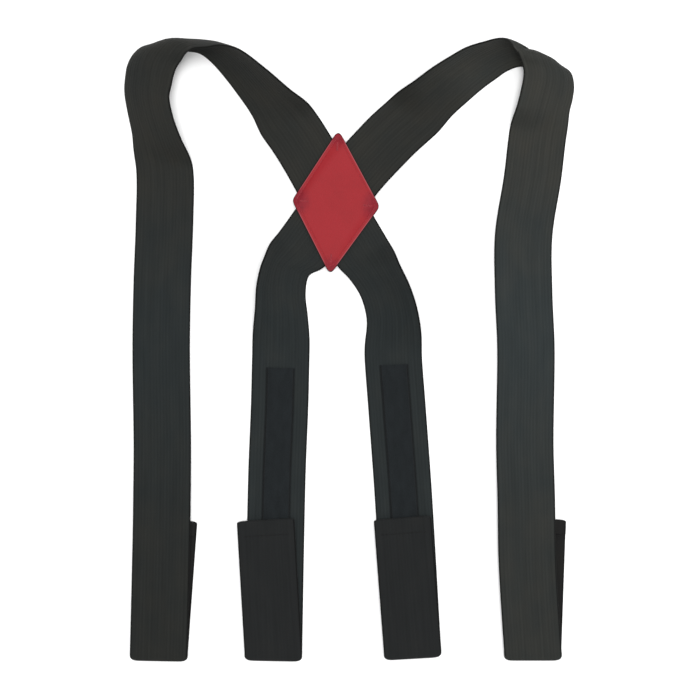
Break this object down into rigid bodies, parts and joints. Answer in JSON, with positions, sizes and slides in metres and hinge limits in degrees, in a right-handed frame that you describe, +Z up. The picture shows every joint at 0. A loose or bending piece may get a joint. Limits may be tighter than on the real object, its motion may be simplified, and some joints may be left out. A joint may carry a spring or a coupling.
{
  "type": "bunker trouser suspenders",
  "caption": "X-back elastic suspenders for firefighting trousers: wide black straps crossing under a red diamond patch, with folded hook-and-loop tabs at the strap ends.",
  "frame": {"origin": "middle of the footprint, on the table the suspenders lie on", "axes": "+Y from the waist ends to the shoulders, +X to the right as seen from above, +Z up; the outer side of the crossing faces up"},
  "size_m": [0.3982, 0.5482, 0.0472],
  "materials": {
    "strap_webbing": "matte ribbed elastic weave",
    "tab_webbing": "matte tight weave",
    "loop_tape": "soft brushed pile",
    "hook_tape": "rows of small hooks",
    "red_leather": "fine grain, matte",
    "red_thread": "bonded thread",
    "black_thread": "bonded thread"
  },
  "bodies": {
    "back": {"right_back_strap": "strap_webbing", "left_back_strap": "strap_webbing", "right_back_loop_tape": "loop_tape", "left_back_loop_tape": "loop_tape", "patch_back": "red_leather", "patch_front": "red_leather", "patch_edge_stitching": "red_thread", "patch_top_bartack": "red_thread", "patch_right_bartack": "red_thread", "patch_bottom_bartack": "red_thread", "patch_left_bartack": "red_thread"},
    "left_front_strap": {"left_front_strap": "strap_webbing", "left_front_loop_tape": "loop_tape"},
    "right_front_strap": {"right_front_strap": "strap_webbing", "right_front_loop_tape": "loop_tape"},
    "right_back_tab": {"right_back_tab": "tab_webbing", "right_back_hook_tape": "hook_tape", "right_back_hem_stitching": "black_thread"},
    "left_back_tab": {"left_back_tab": "tab_webbing", "left_back_hook_tape": "hook_tape", "left_back_hem_stitching": "black_thread"},
    "left_front_tab": {"left_front_tab": "tab_webbing", "left_front_hook_tape": "hook_tape", "left_front_hem_stitching": "black_thread"},
    "right_front_tab": {"right_front_tab": "tab_webbing", "right_front_hook_tape": "hook_tape", "right_front_hem_stitching": "black_thread"}
  },
  "joints": [
    {"name": "left_shoulder_swing", "type": "hinge", "parent": "back", "child": "left_front_strap", "pos_m": [-0.141, 0.2729, 0.0209], "axis": [0, 0, -1], "range_deg": [0, 80]},
    {"name": "right_shoulder_swing", "type": "hinge", "parent": "back", "child": "right_front_strap", "pos_m": [0.1322, 0.2719, 0.0316], "axis": [0, 0, 1], "range_deg": [0, 80]},
    {"name": "right_back_tab_fold", "type": "hinge", "parent": "back", "child": "right_back_tab", "pos_m": [0.0562, -0.2716, 0.0038], "axis": [0.9983, 0.0587, 0], "range_deg": [0, 160]},
    {"name": "left_front_tab_fold", "type": "hinge", "parent": "left_front_strap", "child": "left_front_tab", "pos_m": [-0.168, -0.2736, 0.0038], "axis": [-0.9998, 0.0196, 0], "range_deg": [0, 160]},
    {"name": "left_back_tab_fold", "type": "hinge", "parent": "back", "child": "left_back_tab", "pos_m": [-0.067, -0.2736, 0.0038], "axis": [0.9998, -0.0196, 0], "range_deg": [0, 160]},
    {"name": "right_front_tab_fold", "type": "hinge", "parent": "right_front_strap", "child": "right_front_tab", "pos_m": [0.162, -0.2731, 0.0038], "axis": [-1, 0, 0], "range_deg": [0, 160]}
  ]
}
